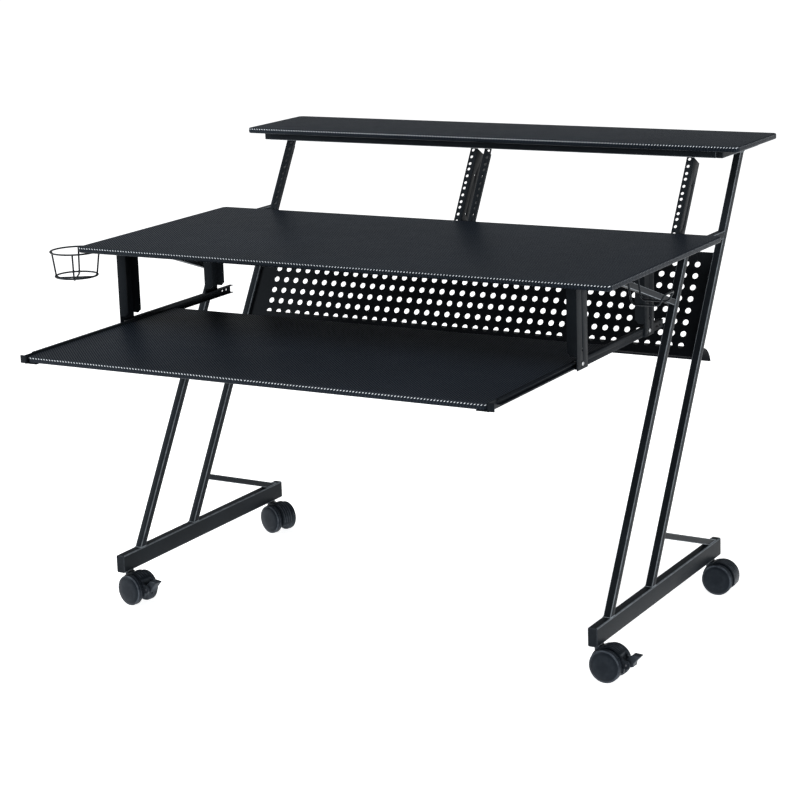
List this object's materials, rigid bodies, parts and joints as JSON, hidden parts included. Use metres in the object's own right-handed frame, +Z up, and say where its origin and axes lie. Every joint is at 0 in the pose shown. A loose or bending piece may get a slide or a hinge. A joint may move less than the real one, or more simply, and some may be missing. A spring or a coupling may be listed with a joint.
{
  "type": "computer desk with keyboard tray",
  "caption": "Wide studio computer desk on casters with slanted rack bays under a raised shelf, a sliding keyboard tray, a perforated panel and wire side hooks.",
  "frame": {"origin": "on the floor at the centre of the whole object's footprint box", "axes": "+X to the user's right, +Y from the user towards the back, +Z up"},
  "size_m": [1.33, 1.177, 0.936],
  "materials": {
    "frame_steel": "satin black powder coat",
    "slide_steel": "smooth black paint",
    "board_wrap": "wrapped particle board with a dark woven-pattern film",
    "cap_plastic": "matt",
    "caster_plastic": "moulded, satin",
    "wheel_plastic": "moulded nylon, satin",
    "lever_plastic": "moulded, satin",
    "zinc_screws": "black zinc plate",
    "stem_steel": "zinc plate",
    "cage_steel": "bright pressed steel"
  },
  "bodies": {
    "frame": {"left_floor_rail": "frame_steel", "right_floor_rail": "frame_steel", "left_front_post": "frame_steel", "right_front_post": "frame_steel", "left_rear_post": "frame_steel", "right_rear_post": "frame_steel", "left_foot_strut": "frame_steel", "right_foot_strut": "frame_steel", "left_upper_brace": "frame_steel", "right_upper_brace": "frame_steel", "left_top_rail": "frame_steel", "right_top_rail": "frame_steel", "left_shelf_arm": "frame_steel", "right_shelf_arm": "frame_steel", "front_beam": "frame_steel", "rear_beam": "frame_steel", "shelf_beam": "frame_steel", "rack_rail_left": "frame_steel", "rack_rail_center_left": "frame_steel", "rack_rail_center_right": "frame_steel", "rack_rail_right": "frame_steel", "perforated_panel": "frame_steel", "cable_shelf": "frame_steel", "left_front_hanger": "frame_steel", "right_front_hanger": "frame_steel", "left_rear_hanger": "frame_steel", "right_rear_hanger": "frame_steel", "cup_holder": "frame_steel", "headphone_hook": "frame_steel", "left_slide_channel": "slide_steel", "right_slide_channel": "slide_steel", "desk_top": "board_wrap", "top_shelf": "board_wrap", "tube_end_caps": "cap_plastic", "frame_bolts": "zinc_screws", "front_left_stem": "stem_steel", "front_right_stem": "stem_steel", "rear_left_stem": "stem_steel", "rear_right_stem": "stem_steel"},
    "tray": {"keyboard_tray": "board_wrap", "left_tray_bracket": "frame_steel", "right_tray_bracket": "frame_steel", "left_slide_runner": "slide_steel", "right_slide_runner": "slide_steel", "tray_screws": "zinc_screws"},
    "left_cage": {"left_slide_cage": "cage_steel"},
    "right_cage": {"right_slide_cage": "cage_steel"},
    "front_left_caster": {"front_left_hood": "caster_plastic"},
    "front_left_wheel_pair": {"front_left_wheels": "wheel_plastic"},
    "front_right_caster": {"front_right_hood": "caster_plastic"},
    "front_right_wheel_pair": {"front_right_wheels": "wheel_plastic"},
    "rear_left_caster": {"rear_left_hood": "caster_plastic"},
    "rear_left_wheel_pair": {"rear_left_wheels": "wheel_plastic"},
    "rear_right_caster": {"rear_right_hood": "caster_plastic"},
    "rear_right_wheel_pair": {"rear_right_wheels": "wheel_plastic"},
    "front_left_lever": {"front_left_brake": "lever_plastic"},
    "front_right_lever": {"front_right_brake": "lever_plastic"}
  },
  "joints": [
    {"name": "tray_slide", "type": "slide", "parent": "frame", "child": "tray", "axis": [0, -1, 0], "range_m": [-0.3, 0]},
    {"name": "left_cage_slide", "type": "slide", "parent": "frame", "child": "left_cage", "axis": [0, -1, 0], "range_m": [-0.15, 0]},
    {"name": "right_cage_slide", "type": "slide", "parent": "frame", "child": "right_cage", "axis": [0, -1, 0], "range_m": [-0.15, 0]},
    {"name": "front_left_swivel", "type": "hinge", "parent": "frame", "child": "front_left_caster", "pos_m": [-0.527, -0.2395, 0.06], "axis": [0, 0, 1], "continuous": true},
    {"name": "front_left_roll", "type": "hinge", "parent": "front_left_caster", "child": "front_left_wheel_pair", "pos_m": [-0.5054, -0.2437, 0.0325], "axis": [0.1908, 0.9816, 0], "continuous": true},
    {"name": "front_right_swivel", "type": "hinge", "parent": "frame", "child": "front_right_caster", "pos_m": [0.569, -0.2395, 0.06], "axis": [0, 0, 1], "continuous": true},
    {"name": "front_right_roll", "type": "hinge", "parent": "front_right_caster", "child": "front_right_wheel_pair", "pos_m": [0.59099, -0.24027, 0.0325], "axis": [0.0349, 0.9994, 0], "continuous": true},
    {"name": "rear_left_swivel", "type": "hinge", "parent": "frame", "child": "rear_left_caster", "pos_m": [-0.527, 0.3185, 0.06], "axis": [0, 0, 1], "continuous": true},
    {"name": "rear_left_roll", "type": "hinge", "parent": "rear_left_caster", "child": "rear_left_wheel_pair", "pos_m": [-0.50596, 0.31207, 0.0325], "axis": [0.2924, 0.9563, 0], "continuous": true},
    {"name": "rear_right_swivel", "type": "hinge", "parent": "frame", "child": "rear_right_caster", "pos_m": [0.569, 0.3185, 0.06], "axis": [0, 0, 1], "continuous": true},
    {"name": "rear_right_roll", "type": "hinge", "parent": "rear_right_caster", "child": "rear_right_wheel_pair", "pos_m": [0.59099, 0.31927, 0.0325], "axis": [-0.0349, 0.9994, 0], "continuous": true},
    {"name": "front_left_brake_tilt", "type": "hinge", "parent": "front_left_caster", "child": "front_left_lever", "pos_m": [-0.46712, -0.25114, 0.038], "axis": [0.1908, 0.9816, 0], "range_deg": [0, 8]},
    {"name": "front_right_brake_tilt", "type": "hinge", "parent": "front_right_caster", "child": "front_right_lever", "pos_m": [0.62996, -0.24163, 0.038], "axis": [0.0349, 0.9994, 0], "range_deg": [0, 8]}
  ],
  "couplings": [
    {"joint": "left_cage_slide", "follows": "tray_slide", "ratio": 0.5},
    {"joint": "right_cage_slide", "follows": "tray_slide", "ratio": 0.5}
  ]
}
